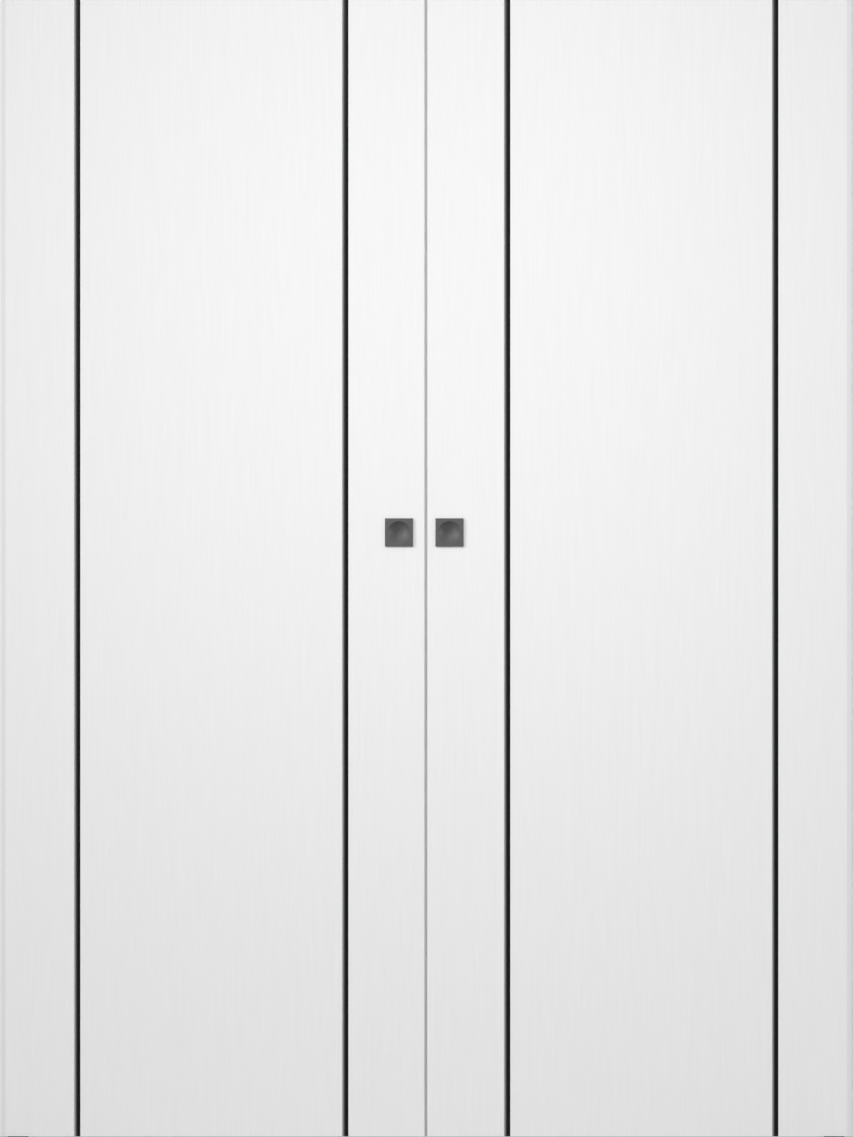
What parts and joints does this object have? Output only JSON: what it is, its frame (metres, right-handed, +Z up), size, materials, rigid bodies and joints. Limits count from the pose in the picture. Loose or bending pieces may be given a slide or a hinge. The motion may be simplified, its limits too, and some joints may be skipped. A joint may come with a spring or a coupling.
{
  "type": "double sliding door",
  "caption": "Pair of flush white door leaves with black inlaid strips and flush finger pulls that hang from one top track and slide apart from the middle.",
  "frame": {"origin": "on the finished floor, below the line where the closed leaves meet, at mid-thickness of the leaves", "axes": "+X along the track to the right as seen from the room, +Y from the room into the wardrobe, +Z up"},
  "size_m": [2.9398, 0.048, 2.0822],
  "materials": {
    "white_laminate": "matt white laminate with a fine vertical grain",
    "white_edging": "matt white laminate",
    "pine_frame": "planed softwood",
    "particle_core": "pressed wood particles",
    "black_strip": "satin black anodised",
    "graphite_pull": "satin graphite",
    "zinc_steel": "bright zinc plating",
    "trolley_zinc": "cast zinc",
    "grey_nylon": "moulded nylon",
    "track_aluminium": "clear anodised extrusion",
    "black_nylon": "moulded nylon",
    "buffer_rubber": "matt rubber"
  },
  "bodies": {
    "track": {"top_track": "track_aluminium", "centre_stop": "black_nylon", "left_end_stop": "black_nylon", "left_end_buffer": "buffer_rubber", "left_floor_guide": "black_nylon", "right_end_stop": "black_nylon", "right_end_buffer": "buffer_rubber", "right_floor_guide": "black_nylon"},
    "left_leaf": {"left_meeting_stile": "pine_frame", "left_outer_stile": "pine_frame", "left_top_rail": "pine_frame", "left_bottom_rail": "pine_frame", "left_core_panel": "particle_core", "left_front_skin": "white_laminate", "left_front_meeting_strip": "black_strip", "left_front_outer_strip": "black_strip", "left_back_skin": "white_laminate", "left_back_meeting_strip": "black_strip", "left_back_outer_strip": "black_strip", "left_meeting_edge_band": "white_edging", "left_outer_edge_lipping": "white_edging", "left_front_pull": "graphite_pull", "left_meeting_hanger_plate": "zinc_steel", "left_meeting_hanger_bolt": "zinc_steel", "left_meeting_lock_nut": "zinc_steel", "left_meeting_trolley": "trolley_zinc", "left_outer_hanger_plate": "zinc_steel", "left_outer_hanger_bolt": "zinc_steel", "left_outer_lock_nut": "zinc_steel", "left_outer_trolley": "trolley_zinc"},
    "left_meeting_wheelset_1": {"left_meeting_wheelset_1": "grey_nylon"},
    "left_meeting_wheelset_2": {"left_meeting_wheelset_2": "grey_nylon"},
    "left_outer_wheelset_1": {"left_outer_wheelset_1": "grey_nylon"},
    "left_outer_wheelset_2": {"left_outer_wheelset_2": "grey_nylon"},
    "right_leaf": {"right_meeting_stile": "pine_frame", "right_outer_stile": "pine_frame", "right_top_rail": "pine_frame", "right_bottom_rail": "pine_frame", "right_core_panel": "particle_core", "right_front_skin": "white_laminate", "right_front_meeting_strip": "black_strip", "right_front_outer_strip": "black_strip", "right_back_skin": "white_laminate", "right_back_meeting_strip": "black_strip", "right_back_outer_strip": "black_strip", "right_meeting_edge_band": "white_edging", "right_outer_edge_lipping": "white_edging", "right_front_pull": "graphite_pull", "right_meeting_hanger_plate": "zinc_steel", "right_meeting_hanger_bolt": "zinc_steel", "right_meeting_lock_nut": "zinc_steel", "right_meeting_trolley": "trolley_zinc", "right_outer_hanger_plate": "zinc_steel", "right_outer_hanger_bolt": "zinc_steel", "right_outer_lock_nut": "zinc_steel", "right_outer_trolley": "trolley_zinc"},
    "right_meeting_wheelset_1": {"right_meeting_wheelset_1": "grey_nylon"},
    "right_meeting_wheelset_2": {"right_meeting_wheelset_2": "grey_nylon"},
    "right_outer_wheelset_1": {"right_outer_wheelset_1": "grey_nylon"},
    "right_outer_wheelset_2": {"right_outer_wheelset_2": "grey_nylon"}
  },
  "joints": [
    {"name": "left_leaf_slide", "type": "slide", "parent": "track", "child": "left_leaf", "axis": [-1, 0, 0], "range_m": [0, 0.7]},
    {"name": "left_meeting_wheelset_1_spin", "type": "hinge", "parent": "left_leaf", "child": "left_meeting_wheelset_1", "pos_m": [-0.0973, 0, 2.0674], "axis": [0, 1, 0], "continuous": true},
    {"name": "left_meeting_wheelset_2_spin", "type": "hinge", "parent": "left_leaf", "child": "left_meeting_wheelset_2", "pos_m": [-0.0533, 0, 2.0674], "axis": [0, 1, 0], "continuous": true},
    {"name": "left_outer_wheelset_1_spin", "type": "hinge", "parent": "left_leaf", "child": "left_outer_wheelset_1", "pos_m": [-0.7093, 0, 2.0674], "axis": [0, 1, 0], "continuous": true},
    {"name": "left_outer_wheelset_2_spin", "type": "hinge", "parent": "left_leaf", "child": "left_outer_wheelset_2", "pos_m": [-0.6653, 0, 2.0674], "axis": [0, 1, 0], "continuous": true},
    {"name": "right_leaf_slide", "type": "slide", "parent": "track", "child": "right_leaf", "axis": [1, 0, 0], "range_m": [0, 0.7]},
    {"name": "right_meeting_wheelset_1_spin", "type": "hinge", "parent": "right_leaf", "child": "right_meeting_wheelset_1", "pos_m": [0.0533, 0, 2.0674], "axis": [0, 1, 0], "continuous": true},
    {"name": "right_meeting_wheelset_2_spin", "type": "hinge", "parent": "right_leaf", "child": "right_meeting_wheelset_2", "pos_m": [0.0973, 0, 2.0674], "axis": [0, 1, 0], "continuous": true},
    {"name": "right_outer_wheelset_1_spin", "type": "hinge", "parent": "right_leaf", "child": "right_outer_wheelset_1", "pos_m": [0.6653, 0, 2.0674], "axis": [0, 1, 0], "continuous": true},
    {"name": "right_outer_wheelset_2_spin", "type": "hinge", "parent": "right_leaf", "child": "right_outer_wheelset_2", "pos_m": [0.7093, 0, 2.0674], "axis": [0, 1, 0], "continuous": true}
  ],
  "couplings": [
    {"joint": "left_meeting_wheelset_1_spin", "follows": "left_leaf_slide", "rad_per_m": -100},
    {"joint": "left_meeting_wheelset_2_spin", "follows": "left_leaf_slide", "rad_per_m": -100},
    {"joint": "left_outer_wheelset_1_spin", "follows": "left_leaf_slide", "rad_per_m": -100},
    {"joint": "left_outer_wheelset_2_spin", "follows": "left_leaf_slide", "rad_per_m": -100},
    {"joint": "right_meeting_wheelset_1_spin", "follows": "right_leaf_slide", "rad_per_m": 100},
    {"joint": "right_meeting_wheelset_2_spin", "follows": "right_leaf_slide", "rad_per_m": 100},
    {"joint": "right_outer_wheelset_1_spin", "follows": "right_leaf_slide", "rad_per_m": 100},
    {"joint": "right_outer_wheelset_2_spin", "follows": "right_leaf_slide", "rad_per_m": 100}
  ]
}
